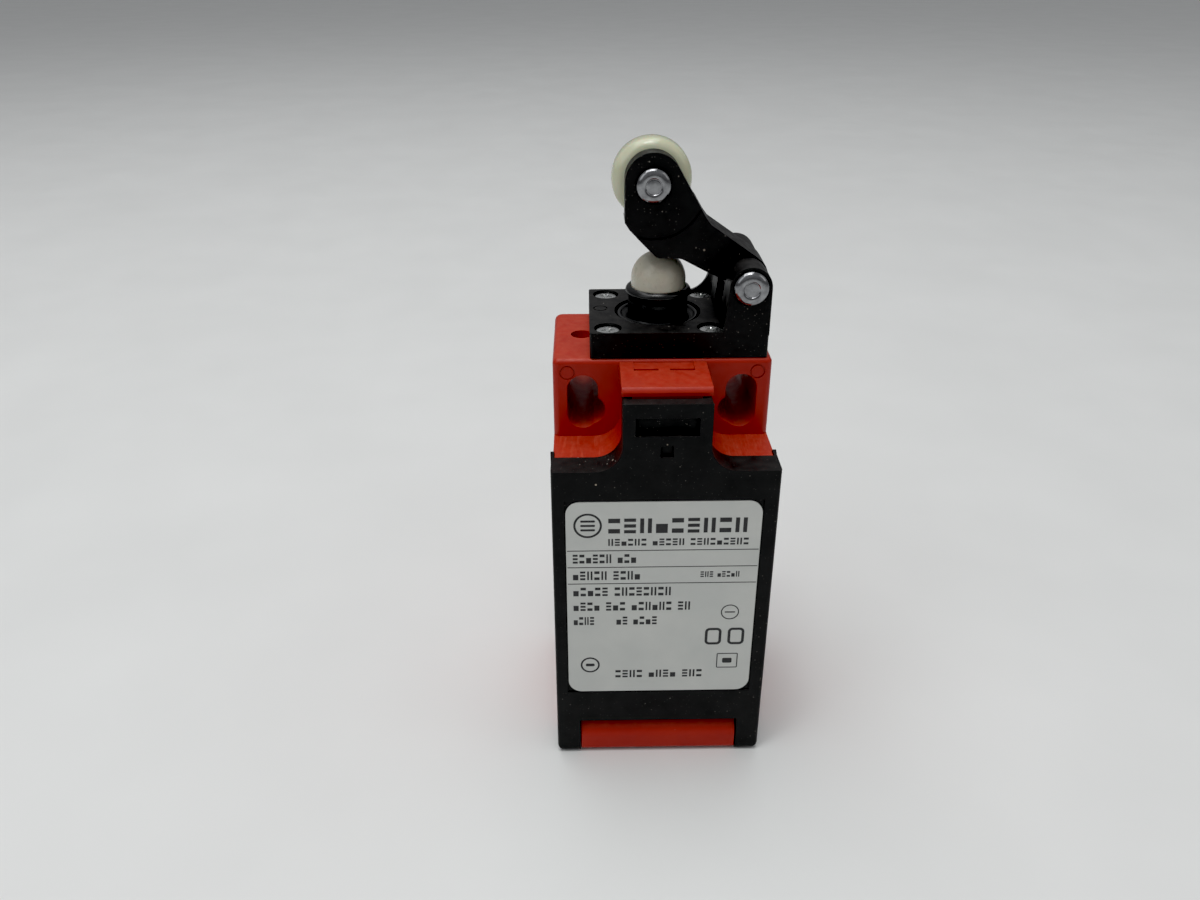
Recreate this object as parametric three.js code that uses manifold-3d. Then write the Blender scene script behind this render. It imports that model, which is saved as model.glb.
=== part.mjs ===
// Plastic-bodied roller-lever limit switch with a 30 mm wide housing.
// Millimetres. +X right, +Y back, +Z up, seen from the cover side.
// Origin: middle of the footprint, at the level of the base.

import * as THREE from 'three';
import { mergeVertices } from 'three/addons/utils/BufferGeometryUtils.js';
import Module from 'manifold-3d';

const wasm = await Module();
wasm.setup();

// ---------------------------------------------------------------- driving dimensions

// housing
const BODY_HALF = 15.1;
const BODY_BACK = 15;
const BODY_TOP = 60.68;
const BODY_CORNER = 1.2;
const FLANGE_Y = -3.82;          // front plane of the mounting flange
const LOWER_FRONT = -8.85;       // where the cover's side wings end
const SEAM_Y = -10.66;           // front rim of the housing, under the cover
const WALL = 3.05;               // from the cover outline to the wiring space
const REBATE = 0.25;             // the housing rim stands this far inside the cover
const RIM_HALF = 14.9;           // between the cover's side wings
const CAVITY_BACK = 13.2;
const LIP_FRONT = -12.2;
const LIP_INSET = 2.05;

// outline shared by the cover and the housing front
const COVER_HALF = 15.35;
const SHOULDER_Z = 49.3;
const TONGUE_HALF = 5.85;
const TONGUE_TOP = 59.1;
const SHOULDER_FILLET = 3.7;
const COVER_BOTTOM = 6.25;

// cover
const COVER_FRONT = -15;
const COVER_WALL = 1.6;
const COVER_RIM = -10.76;
const WING_HALF = 15.5;
const WING_INNER = 14.97;
const LEG_INNER = 11.85;
const LEG_BOTTOM = 0.1;
const LEG_CORNER = 0.8;
const BAR_BOTTOM = 0.3;
const LEG_BACK = -9.7;
const LEG_SHOULDER = 5.9;        // the leg's back is cut away above this, to clear the rim
const HINGE_Y = -12.3;
const HINGE_Z = 2.8;
const TRUNNION_R = 1.2;
const TRUNNION_END = 13.9;
const RUNNING = 0.06;            // radial clearance where one piece turns on another

// mounting slots in the flange
const SLOT_R = 2.15;
const SLOT_X = 11;
const SLOT_LOW = 52.5;
const SLOT_HIGH = 56.2;
const LOBE_X = 10;
const LOBE_Z = 53.1;

// cable entry, metric 20 mm thread
const ENTRY_R = 9.3;
const ENTRY_Y = 3.2;

// head
const AXIS_X = -0.2;             // plunger axis
const AXIS_Y = 5.6;
const HEAD_LEFT = -9.95;
const HEAD_RIGHT = 14.35;
const HEAD_FRONT = -3.55;
const HEAD_TOP = 64.375;
const SEAL_SEAT_R = 6.1;
const SEAL_SEAT_Z = 63.5;
const HEAD_SCREW_STEP = 14.1;
const HEAD_SCREW_X = -0.4;
const HEAD_SCREW_Y = 5.55;
const SCREW_SEAT_R = 1.9;
const SCREW_SEAT_Z = 62.8;
const SCREW_SHANK_R = 1.1;
const SCREW_END_Z = 56.4;

// lever pivot
const PIVOT_X = 11.5;
const PIVOT_Z = 70.5;
const EAR_R = 2.85;
const EAR_LEFT = 8;
const FRONT_EAR = [HEAD_FRONT, 1.15];
const REAR_EAR = [7.1, 13.4];
const GUSSET_R = 3.5;
const GUSSET_TOP = 68.2;
const PIN_R = 1.2;
const RIVET_R = 2.32;
const RIVET_TAIL_R = 1.95;
const RIVET_HEIGHT = 0.78;
const DISH_R = 1.25;
const DISH_DEPTH = 0.3;

// lever and roller
const LEVER_FRONT = 1.3;
const PLATE_BACK = 4.3;
const LEVER_BACK = 6.95;
const HUB_R = 3;
const ROLLER_X = -1.4;
const ROLLER_Z = 82.9;
const ROLLER_R = 5.45;
const ROLLER_FRONT = 4.45;
const ROLLER_BACK = 9.25;
const PLATE_R = 3.75;
const PLATE_RISE = 0.5;           // the plate's top arc is centred this far above the pin
const LEVER_LEFT = ROLLER_X - PLATE_R;
const CONTACT_Z = 73.2;          // underside that presses the plunger

// plunger and the seal it slides in
const DOME_R = 3.85;
const DOME_Z = 69.15;
const COLLAR_R = 4.25;
const BEAD_R = 4.6;
const SEAL_TOP = 68.2;
const SEAL_BORE = 3.93;
const STOP_TOP = 60.4;
const STOP_BOTTOM = 58.7;
const STOP_R = 4.7;
const FOOT_R = 1.7;
const FOOT_Z = 50.2;

// contact block
const BLOCK_HALF = 11.3;
const BLOCK_FRONT = 0.45;
const BLOCK_BACK = 12.9;
const BLOCK_BOTTOM = 16.5;
const BLOCK_TOP = 45.9;
const TOWER_R = 4.9;
const TOWER_TOP = 51;
const CARRIER_HALF = 3.9;
const CARRIER_Y = [2.7, 8.5];
const CARRIER_Z = [25.5, 48.3];
const SLIDE_GAP = 0.1;
const BRIDGE_HALF = 8.9;
const BRIDGE_Y = [4.6, 6.6];
const BRIDGE_THICK = 0.6;
const NC_BRIDGE_Z = 42.6;
const NO_BRIDGE_Z = 29.1;
const TIP_R = 0.95;
const TIP_HEIGHT = 0.45;
const TIP_X = 7.5;
const TERMINAL_X = 7.6;
const TERMINAL_HALF = 2.8;
const STRIP = 0.8;
const NC_STRIP_Z = 44.2;
const NO_STRIP_Z = 23.6;
const PAD_FRONT = -0.4;
const PAD_LENGTH = 7;
const TERMINAL_SCREW_R = 1.4;

const FINE = 36;                 // sides of a large round
const ROUND = 24;                // sides of a running fit
const COARSE = 12;               // sides of a small round

// ---------------------------------------------------------------- materials

function plastic(colour, roughness) {
  return new THREE.MeshStandardMaterial({ color: colour, roughness, metalness: 0 });
}

function metal(colour, roughness) {
  return new THREE.MeshStandardMaterial({ color: colour, roughness, metalness: 1 });
}

const RED = 0xc4391c;
const BLACK = 0x17171a;
const IVORY = 0xe9e2cb;
const NYLON = 0xd3cec4;
const RUBBER = 0x101012;
const LABEL = 0xdfe1e2;
const STEEL = 0xb9bcc0;
const SPRING = 0x9a9da1;
const COPPER = 0xb98a4a;
const SILVER = 0xc9c9c6;
const MOULDING = 0x2b2f38;

// ---------------------------------------------------------------- solids

// A closed manifold solid from a three.js geometry, facing outwards.
function toSolid(geometry) {
  const bare = geometry.index ? geometry.toNonIndexed() : geometry.clone();
  bare.deleteAttribute('normal');
  bare.deleteAttribute('uv');
  const welded = mergeVertices(bare, 1e-4);
  const points = welded.attributes.position.array;
  const index = welded.index.array;
  const triangles = [];
  let volume = 0;
  for (let i = 0; i < index.length; i += 3) {
    const [a, b, c] = [index[i], index[i + 1], index[i + 2]];
    if (a === b || b === c || c === a) continue;
    triangles.push(a, b, c);
    const [p, q, r] = [a, b, c].map((n) => new THREE.Vector3().fromArray(points, 3 * n));
    volume += p.dot(q.cross(r));
  }
  if (volume < 0) triangles.reverse();
  return new wasm.Manifold(new wasm.Mesh({
    numProp: 3,
    vertProperties: new Float32Array(points),
    triVerts: new Uint32Array(triangles),
  }));
}

function box(x0, x1, y0, y1, z0, z1) {
  const geometry = new THREE.BoxGeometry(x1 - x0, y1 - y0, z1 - z0);
  geometry.translate((x0 + x1) / 2, (y0 + y1) / 2, (z0 + z1) / 2);
  return toSolid(geometry);
}

function extruded(shape, depth, segments) {
  return new THREE.ExtrudeGeometry(shape, { depth, bevelEnabled: false, curveSegments: segments });
}

// A profile drawn in (x, z), running along Y.
function prismY(shape, y0, y1, segments = 12) {
  const geometry = extruded(shape, y1 - y0, segments);
  geometry.rotateX(Math.PI / 2);
  geometry.translate(0, y1, 0);
  return toSolid(geometry);
}

// A profile drawn in (y, z), running along X.
function prismX(shape, x0, x1, segments = 12) {
  const geometry = extruded(shape, x1 - x0, segments);
  const turn = new THREE.Matrix4().makeBasis(
    new THREE.Vector3(0, 1, 0),
    new THREE.Vector3(0, 0, 1),
    new THREE.Vector3(1, 0, 0),
  );
  geometry.applyMatrix4(turn);
  geometry.translate(x0, 0, 0);
  return toSolid(geometry);
}

// A profile drawn in (x, y), running along Z.
function prismZ(shape, z0, z1, segments = 12) {
  const geometry = extruded(shape, z1 - z0, segments);
  geometry.translate(0, 0, z0);
  return toSolid(geometry);
}

// A profile of [radius, height] points turned about Z.
function turnedZ(points, x, y, sides = FINE) {
  const geometry = new THREE.LatheGeometry(points.map(([r, h]) => new THREE.Vector2(r, h)), sides);
  geometry.rotateX(Math.PI / 2);
  geometry.translate(x, y, 0);
  return toSolid(geometry);
}

// A profile of [radius, y] points turned about Y.
function turnedY(points, x, z, sides = ROUND) {
  const geometry = new THREE.LatheGeometry(points.map(([r, h]) => new THREE.Vector2(r, h)), sides);
  geometry.translate(x, 0, z);
  return toSolid(geometry);
}

function cylinderZ(r, z0, z1, x, y, sides = FINE) {
  return turnedZ([[0, z0], [r, z0], [r, z1], [0, z1]], x, y, sides);
}

function cylinderY(r, y0, y1, x, z, sides = ROUND) {
  return turnedY([[0, y0], [r, y0], [r, y1], [0, y1]], x, z, sides);
}

function cylinderX(r, x0, x1, y, z, sides = ROUND) {
  const geometry = new THREE.CylinderGeometry(r, r, x1 - x0, sides);
  geometry.rotateZ(Math.PI / 2);
  geometry.translate((x0 + x1) / 2, y, z);
  return toSolid(geometry);
}

// A flat ring about Z.
function ringZ(inner, outer, z0, z1, x, y, sides = FINE) {
  const bore = cylinderZ(inner, z0 - 1, z1 + 1, x, y, sides);
  return cylinderZ(outer, z0, z1, x, y, sides).subtract(bore);
}

function polygon(points) {
  return new THREE.Shape(points.map(([a, b]) => new THREE.Vector2(a, b)));
}

function roundedRect(x0, x1, y0, y1, r) {
  const shape = new THREE.Shape();
  shape.moveTo(x0 + r, y0);
  shape.lineTo(x1 - r, y0);
  shape.absarc(x1 - r, y0 + r, r, -Math.PI / 2, 0, false);
  shape.lineTo(x1, y1 - r);
  shape.absarc(x1 - r, y1 - r, r, 0, Math.PI / 2, false);
  shape.lineTo(x0 + r, y1);
  shape.absarc(x0 + r, y1 - r, r, Math.PI / 2, Math.PI, false);
  shape.lineTo(x0, y0 + r);
  shape.absarc(x0 + r, y0 + r, r, Math.PI, 1.5 * Math.PI, false);
  return shape;
}

// A plan rectangle whose two back corners are rounded.
function backRounded(x0, x1, y0, y1, r) {
  const shape = new THREE.Shape();
  shape.moveTo(x0, y0);
  shape.lineTo(x1, y0);
  shape.lineTo(x1, y1 - r);
  shape.absarc(x1 - r, y1 - r, r, 0, Math.PI / 2, false);
  shape.lineTo(x0 + r, y1);
  shape.absarc(x0 + r, y1 - r, r, Math.PI / 2, Math.PI, false);
  return shape;
}

// A coil of round wire whose ends are cut square.
class Helix extends THREE.Curve {
  constructor(radius, bottom, top, turns) {
    super();
    this.radius = radius;
    this.bottom = bottom;
    this.top = top;
    this.turns = turns;
  }

  getPoint(t, target = new THREE.Vector3()) {
    const angle = t * this.turns * 2 * Math.PI;
    const height = this.bottom + t * (this.top - this.bottom);
    return target.set(this.radius * Math.cos(angle), this.radius * Math.sin(angle), height);
  }
}

// A compression spring about Z, between its two outer end faces.
function coilSpring(radius, wire, bottom, top, turns, x, y) {
  const section = new THREE.Shape();
  section.absarc(0, 0, wire / 2, 0, 2 * Math.PI, false);
  const path = new Helix(radius, bottom + wire / 2, top - wire / 2, turns);
  const geometry = new THREE.ExtrudeGeometry(section, {
    steps: Math.round(turns * 12),
    curveSegments: 2,
    extrudePath: path,
  });
  geometry.translate(x, y, 0);
  return toSolid(geometry);
}

function piece(name, solid, material, position = [0, 0, 0]) {
  const source = solid.getMesh();
  const geometry = new THREE.BufferGeometry();
  geometry.setAttribute('position', new THREE.BufferAttribute(source.vertProperties, 3));
  geometry.setIndex(new THREE.BufferAttribute(source.triVerts, 1));
  geometry.computeVertexNormals();
  const mesh = new THREE.Mesh(geometry, material);
  mesh.name = name;
  mesh.position.set(...position);
  return mesh;
}

// ---------------------------------------------------------------- shared outline

// The front outline of the cover: a rectangle with a narrower tongue on top,
// joined by concave fillets. An inset shrinks it evenly.
function frontOutline(inset) {
  const half = COVER_HALF - inset;
  const tongue = TONGUE_HALF - inset;
  const bottom = COVER_BOTTOM + inset;
  const shoulder = SHOULDER_Z - inset;
  const fillet = SHOULDER_FILLET + inset;
  const centreX = TONGUE_HALF + SHOULDER_FILLET;
  const centreZ = SHOULDER_Z + SHOULDER_FILLET;
  const shape = new THREE.Shape();
  shape.moveTo(-half, bottom);
  shape.lineTo(half, bottom);
  shape.lineTo(half, shoulder);
  shape.lineTo(centreX, shoulder);
  shape.absarc(centreX, centreZ, fillet, -Math.PI / 2, -Math.PI, true);
  shape.lineTo(tongue, TONGUE_TOP - inset);
  shape.lineTo(-tongue, TONGUE_TOP - inset);
  shape.lineTo(-tongue, centreZ);
  shape.absarc(-centreX, centreZ, fillet, 0, -Math.PI / 2, true);
  shape.lineTo(-half, shoulder);
  return shape;
}

function outlineRing(outerInset, innerInset, y0, y1) {
  const hole = prismY(frontOutline(innerInset), y0 - 1, y1 + 1, 8);
  return prismY(frontOutline(outerInset), y0, y1, 8).subtract(hole);
}

function headScrewPlaces() {
  const half = HEAD_SCREW_STEP / 2;
  return [[-1, -1], [1, -1], [-1, 1], [1, 1]].map(([i, j]) => [
    HEAD_SCREW_X + i * half,
    HEAD_SCREW_Y + j * half,
  ]);
}

// ---------------------------------------------------------------- housing

function mountingSlot(side) {
  const straight = roundedRect(
    side * SLOT_X - SLOT_R,
    side * SLOT_X + SLOT_R,
    SLOT_LOW - SLOT_R,
    SLOT_HIGH + SLOT_R,
    SLOT_R - 0.001,
  );
  const through = [FLANGE_Y - 1, BODY_BACK + 1];
  const lobe = cylinderY(SLOT_R, ...through, side * LOBE_X, LOBE_Z, ROUND);
  return prismY(straight, ...through, 8).add(lobe);
}

function hingeBar() {
  const radius = HINGE_Z - 0.15;
  const back = LOWER_FRONT + 0.5;
  const section = new THREE.Shape();
  section.moveTo(back, BAR_BOTTOM);
  section.lineTo(back, HINGE_Z + radius);
  section.lineTo(HINGE_Y, HINGE_Z + radius);
  section.absarc(HINGE_Y, HINGE_Z, radius, Math.PI / 2, Math.PI, false);
  const [cornerY, cornerZ] = [HINGE_Y - radius + LEG_CORNER, BAR_BOTTOM + LEG_CORNER];
  section.absarc(cornerY, cornerZ, LEG_CORNER, Math.PI, 1.5 * Math.PI, false);
  const bar = prismX(section, 0.15 - LEG_INNER, LEG_INNER - 0.15, 10);
  const trunnions = cylinderX(TRUNNION_R, -TRUNNION_END, TRUNNION_END, HINGE_Y, HINGE_Z);
  return bar.add(trunnions);
}

function housing() {
  const lower = prismZ(backRounded(-BODY_HALF, BODY_HALF, LOWER_FRONT, BODY_BACK, BODY_CORNER), 0, 49.05, 5);
  const upper = prismZ(backRounded(-BODY_HALF, BODY_HALF, FLANGE_Y, BODY_BACK, BODY_CORNER), 48, BODY_TOP, 5);
  const between = box(-RIM_HALF, RIM_HALF, SEAM_Y - 1, FLANGE_Y + 2, 0, BODY_TOP);
  const rim = prismY(frontOutline(REBATE), SEAM_Y, FLANGE_Y + 1, 8).intersect(between);
  const lip = outlineRing(LIP_INSET, WALL, LIP_FRONT, SEAM_Y + 0.1);
  let solid = lower.add(upper).add(rim).add(lip).add(hingeBar());

  solid = solid.subtract(prismY(frontOutline(WALL), LIP_FRONT - 1, CAVITY_BACK, 8));
  solid = solid.subtract(cylinderZ(5.2, 47, BODY_TOP + 1, AXIS_X, AXIS_Y));
  solid = solid.subtract(cylinderZ(6.8, BODY_TOP - 0.5, BODY_TOP + 1, AXIS_X, AXIS_Y));
  solid = solid.subtract(cylinderZ(ENTRY_R, -1, 11, 0, ENTRY_Y));
  solid = solid.subtract(mountingSlot(-1)).subtract(mountingSlot(1));
  solid = solid.subtract(cylinderZ(1.55, BODY_TOP - 1.8, BODY_TOP + 1, -11.1, 5.8, 24));
  for (const [x, y] of headScrewPlaces()) {
    solid = solid.subtract(cylinderZ(SCREW_SHANK_R + 0.05, SCREW_END_Z - 0.2, BODY_TOP + 1, x, y, COARSE));
  }
  for (const side of [-1, 1]) {
    const [x0, x1] = [side * 10.2, side * 12.4].sort((a, b) => a - b);
    solid = solid.add(box(x0, x1, 9.2, CAVITY_BACK + 0.3, 14.2, BLOCK_BOTTOM - 0.05));
  }
  return piece('housing', solid, plastic(RED, 0.5));
}

// ---------------------------------------------------------------- cover and latch

function coverLeg(side) {
  const section = new THREE.Shape();
  section.moveTo(LEG_BACK, LEG_SHOULDER);
  section.lineTo(COVER_RIM, COVER_BOTTOM + 0.2);
  section.lineTo(COVER_FRONT, COVER_BOTTOM + 0.2);
  const [cornerY, cornerZ] = [COVER_FRONT + LEG_CORNER, LEG_BOTTOM + LEG_CORNER];
  section.absarc(cornerY, cornerZ, LEG_CORNER, Math.PI, 1.5 * Math.PI, false);
  section.lineTo(LEG_BACK - 1, LEG_BOTTOM);
  section.lineTo(LEG_BACK, LEG_BOTTOM + 1);
  const [x0, x1] = [side * LEG_INNER, side * COVER_HALF].sort((a, b) => a - b);
  return prismX(section, x0, x1, 8);
}

function cover() {
  let solid = prismY(frontOutline(0), COVER_FRONT, COVER_RIM, 8);
  solid = solid.subtract(prismY(frontOutline(COVER_WALL), COVER_FRONT + COVER_WALL, COVER_RIM + 1, 8));
  for (const side of [-1, 1]) {
    const [x0, x1] = [side * WING_INNER, side * WING_HALF].sort((a, b) => a - b);
    solid = solid.add(box(x0, x1, -11.6, -9, COVER_BOTTOM, SHOULDER_Z));
    solid = solid.add(coverLeg(side));
  }
  const sockets = cylinderX(TRUNNION_R + RUNNING, -TRUNNION_END - 0.1, TRUNNION_END + 0.1, HINGE_Y, HINGE_Z);
  solid = solid.subtract(sockets);
  solid = solid.subtract(box(-13.6, 13.3, -15.5, -14.8, 11.9, 44.8));
  solid = solid.subtract(box(-4.1, 4.1, -15.5, -14, 54.5, 57));
  solid = solid.subtract(box(-0.8, 0.8, -15.5, -14.5, 51.4, 53));
  solid = solid.subtract(box(-4.8, 4.8, -12.95, -11.45, TONGUE_TOP - 0.7, TONGUE_TOP + 1));
  return piece('cover', solid, plastic(BLACK, 0.55));
}

function coverGasket() {
  const ring = outlineRing(COVER_WALL + 0.1, WALL - 0.1, COVER_FRONT + COVER_WALL + 0.05, LIP_FRONT - 0.05);
  return piece('cover_gasket', ring, plastic(RUBBER, 0.8));
}

function labelPlate() {
  const plate = prismY(roundedRect(-13.5, 13.2, 12, 44.7, 2), -14.98, -14.82, 6);
  return piece('label_plate', plate, plastic(LABEL, 0.35));
}

function coverLatch() {
  const side = polygon([
    [-12.95, 59.75],
    [-12.95, 59.25],
    [-12.7, 59.2],
    [-12.7, 58.55],
    [-11.9, 58.55],
    [-11.6, 59.2],
    [-3.95, 59.2],
    [-3.95, 60.3],
    [-4.1, 60.42],
    [-12.45, 60.36],
    [-12.8, 60.15],
  ]);
  let solid = prismX(side, -5.95, 5.95);
  for (const edge of [-1, 1]) {
    const [x0, x1] = [edge * 4.6, edge * 7].sort((a, b) => a - b);
    solid = solid.subtract(box(x0, x1, -13.5, -11, 58, 59.19));
    const [s0, s1] = [edge * 0.8, edge * 4.1].sort((a, b) => a - b);
    solid = solid.subtract(box(s0, s1, -7, -6.1, 59.9, 61));
  }
  solid = solid.subtract(box(-4.1, 4.1, -6.1, -3, 60.2, 61));
  return piece('cover_latch', solid, plastic(RED, 0.5));
}

// ---------------------------------------------------------------- head

function earProfile() {
  const shape = new THREE.Shape();
  shape.moveTo(EAR_LEFT, HEAD_TOP - 0.5);
  shape.lineTo(HEAD_RIGHT, HEAD_TOP - 0.5);
  shape.lineTo(HEAD_RIGHT, PIVOT_Z);
  shape.absarc(PIVOT_X, PIVOT_Z, EAR_R, 0, Math.PI, false);
  return shape;
}

function gussetProfile() {
  const shape = new THREE.Shape();
  shape.moveTo(EAR_LEFT - GUSSET_R, HEAD_TOP - 0.5);
  shape.lineTo(HEAD_RIGHT, HEAD_TOP - 0.5);
  shape.lineTo(HEAD_RIGHT, GUSSET_TOP);
  shape.lineTo(EAR_LEFT, GUSSET_TOP);
  shape.absarc(EAR_LEFT - GUSSET_R, HEAD_TOP + GUSSET_R - 0.2, GUSSET_R, 0, -Math.PI / 2, true);
  return shape;
}

function headBlock() {
  const plan = roundedRect(HEAD_LEFT, HEAD_RIGHT, HEAD_FRONT, BODY_BACK, 0.4);
  let solid = prismZ(plan, BODY_TOP + 0.02, HEAD_TOP, 4);
  solid = solid.add(prismY(earProfile(), ...FRONT_EAR, 14));
  solid = solid.add(prismY(earProfile(), ...REAR_EAR, 14));
  solid = solid.add(prismY(gussetProfile(), REAR_EAR[1] - 0.1, BODY_BACK, 8));
  solid = solid.add(box(8.9, HEAD_RIGHT, FRONT_EAR[1] - 0.1, REAR_EAR[0] + 0.1, HEAD_TOP - 0.5, 66.6));
  solid = solid.subtract(cylinderZ(SEAL_SEAT_R, SEAL_SEAT_Z, HEAD_TOP + 1, AXIS_X, AXIS_Y));
  solid = solid.subtract(cylinderZ(DOME_R + RUNNING, BODY_TOP - 1, HEAD_TOP, AXIS_X, AXIS_Y));
  for (const [x, y] of headScrewPlaces()) {
    solid = solid.subtract(cylinderZ(SCREW_SEAT_R, SCREW_SEAT_Z, PIVOT_Z + 4, x, y, ROUND));
    solid = solid.subtract(cylinderZ(SCREW_SHANK_R + 0.1, BODY_TOP - 1, HEAD_TOP, x, y, COARSE));
  }
  solid = solid.subtract(cylinderY(PIN_R + 0.05, HEAD_FRONT - 1, BODY_BACK + 1, PIVOT_X, PIVOT_Z));
  return piece('head_block', solid, plastic(BLACK, 0.6));
}

function headGasket() {
  const ring = ringZ(5.35, 6.7, BODY_TOP - 0.46, BODY_TOP - 0.02, AXIS_X, AXIS_Y);
  return piece('head_gasket', ring, plastic(RUBBER, 0.8));
}

// A cross-recess pan head screw with its head seat at z = 0 and its shank below.
function crossScrew(headR, headHeight, shankR, length, sides) {
  const crown = headHeight * 0.3;
  let solid = turnedZ([
    [0, -length],
    [shankR * 0.6, -length],
    [shankR, -length + shankR * 0.6],
    [shankR, 0],
    [headR, 0],
    [headR, headHeight - crown],
    [headR * 0.75, headHeight],
    [0, headHeight],
  ], 0, 0, sides);
  const arm = headR * 0.55;
  const blade = headR * 0.14;
  const floor = headHeight * 0.45;
  const bar = box(-arm, arm, -blade, blade, floor, headHeight + 1);
  const cross = box(-blade, blade, -arm, arm, floor, headHeight + 1);
  solid = solid.subtract(bar.add(cross));
  return solid;
}

function headScrews() {
  const solid = crossScrew(1.65, 1.15, SCREW_SHANK_R, SCREW_SEAT_Z + 0.05 - SCREW_END_Z, 16);
  return headScrewPlaces().map(([x, y], i) =>
    piece(`head_screw_${i + 1}`, solid, metal(STEEL, 0.35), [x, y, SCREW_SEAT_Z + 0.05]));
}

// ---------------------------------------------------------------- lever and roller

// A dished rivet along Y, from the front face of its head to the end of its tail.
function rivet(x, z, seat, tailSeat, tailR) {
  const front = seat - RIVET_HEIGHT;
  return turnedY([
    [0, front + DISH_DEPTH],
    [DISH_R * 0.7, front + DISH_DEPTH],
    [DISH_R, front],
    [RIVET_R - 0.45, front],
    [RIVET_R, front + 0.4],
    [RIVET_R, seat],
    [PIN_R, seat],
    [PIN_R, tailSeat],
    [tailR, tailSeat],
    [tailR, tailSeat + 0.4],
    [tailR - 0.4, tailSeat + 0.7],
    [0, tailSeat + 0.7],
  ], x, z);
}

function leverPin() {
  const solid = rivet(PIVOT_X, PIVOT_Z, HEAD_FRONT - 0.02, REAR_EAR[1] + 0.02, RIVET_TAIL_R);
  return piece('lever_pin', solid, metal(STEEL, 0.25));
}

function rollerPin() {
  const solid = rivet(ROLLER_X, ROLLER_Z, LEVER_FRONT - 0.02, ROLLER_BACK + 0.08, RIVET_TAIL_R);
  return piece('roller_pin', solid, metal(STEEL, 0.25));
}

// The side view of the lever: a plate round the roller pin, an elbow whose flat
// underside presses the plunger, and an arm down to the pivot.
function leverProfile() {
  const shape = new THREE.Shape();
  const lean = 0.554;            // angle of the plate's right edge from vertical
  shape.moveTo(LEVER_LEFT, 78);
  shape.lineTo(-4.5, 77);
  shape.lineTo(-0.9, CONTACT_Z + 0.15);
  shape.lineTo(-0.5, CONTACT_Z);
  shape.lineTo(1.9, CONTACT_Z);
  shape.lineTo(2.7, CONTACT_Z - 0.15);
  shape.lineTo(5.93, 71.35);
  shape.lineTo(PIVOT_X - 2, PIVOT_Z - 0.9);
  shape.lineTo(PIVOT_X + 2.4, PIVOT_Z + 1.2);
  shape.lineTo(12.95, 73.2);
  shape.lineTo(6.4, 77.75);
  shape.lineTo(5.65, 78.75);
  const [c, s] = [Math.cos(lean), Math.sin(lean)];
  const top = ROLLER_Z + PLATE_RISE;
  shape.lineTo(ROLLER_X + PLATE_R * c, top + PLATE_R * s);
  shape.absarc(ROLLER_X, top, PLATE_R, lean, Math.PI, false);
  return shape;
}

function lever() {
  let solid = prismY(leverProfile(), LEVER_FRONT, LEVER_BACK, 20);
  solid = solid.add(cylinderY(HUB_R, LEVER_FRONT, LEVER_BACK, PIVOT_X, PIVOT_Z));
  const clearance = cylinderY(ROLLER_R + 0.75, PLATE_BACK, LEVER_BACK + 1, ROLLER_X, ROLLER_Z, FINE);
  solid = solid.subtract(clearance);
  solid = solid.subtract(cylinderY(PIN_R + RUNNING, 0, 9, PIVOT_X, PIVOT_Z));
  solid = solid.subtract(cylinderY(PIN_R + 0.03, 0, 9, ROLLER_X, ROLLER_Z));
  return piece('lever', solid, plastic(BLACK, 0.5));
}

function roller() {
  const edge = 0.6;
  const bore = PIN_R + RUNNING;
  const solid = turnedY([
    [bore, ROLLER_FRONT],
    [ROLLER_R - edge, ROLLER_FRONT],
    [ROLLER_R - 0.18, ROLLER_FRONT + 0.18],
    [ROLLER_R, ROLLER_FRONT + edge],
    [ROLLER_R, ROLLER_BACK - edge],
    [ROLLER_R - 0.18, ROLLER_BACK - 0.18],
    [ROLLER_R - edge, ROLLER_BACK],
    [bore, ROLLER_BACK],
    [bore, ROLLER_FRONT],
  ], ROLLER_X, ROLLER_Z, FINE);
  return piece('roller', solid, plastic(IVORY, 0.4));
}

// ---------------------------------------------------------------- plunger and seal

function plunger() {
  const profile = [
    [0, FOOT_Z],
    [FOOT_R, FOOT_Z],
    [FOOT_R, STOP_BOTTOM],
    [STOP_R, STOP_BOTTOM],
    [STOP_R, STOP_TOP],
    [DOME_R, STOP_TOP],
  ];
  const steps = 8;
  for (let i = 0; i <= steps; i += 1) {
    const angle = (Math.PI / 2) * (i / steps);
    const radius = i === steps ? 0 : DOME_R * Math.cos(angle);
    profile.push([radius, DOME_Z + DOME_R * Math.sin(angle)]);
  }
  return piece('plunger', turnedZ(profile, AXIS_X, AXIS_Y, 32), plastic(NYLON, 0.35));
}

function plungerSeal() {
  const solid = turnedZ([
    [SEAL_BORE, SEAL_SEAT_Z + 0.02],
    [SEAL_SEAT_R - 0.3, SEAL_SEAT_Z + 0.02],
    [SEAL_SEAT_R - 0.3, SEAL_SEAT_Z + 0.4],
    [COLLAR_R + 0.3, SEAL_SEAT_Z + 0.5],
    [COLLAR_R, SEAL_SEAT_Z + 0.9],
    [COLLAR_R, 66.8],
    [BEAD_R, 67.2],
    [BEAD_R, 67.8],
    [BEAD_R - 0.4, SEAL_TOP],
    [SEAL_BORE, SEAL_TOP],
    [SEAL_BORE, SEAL_SEAT_Z + 0.02],
  ], AXIS_X, AXIS_Y, 32);
  return piece('plunger_seal', solid, plastic(RUBBER, 0.7));
}

function plungerSpring() {
  const solid = coilSpring(2.9, 0.65, TOWER_TOP + 0.03, STOP_BOTTOM - 0.03, 4.5, AXIS_X, AXIS_Y);
  return piece('plunger_spring', solid, metal(SPRING, 0.3));
}

// ---------------------------------------------------------------- contact block

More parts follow.
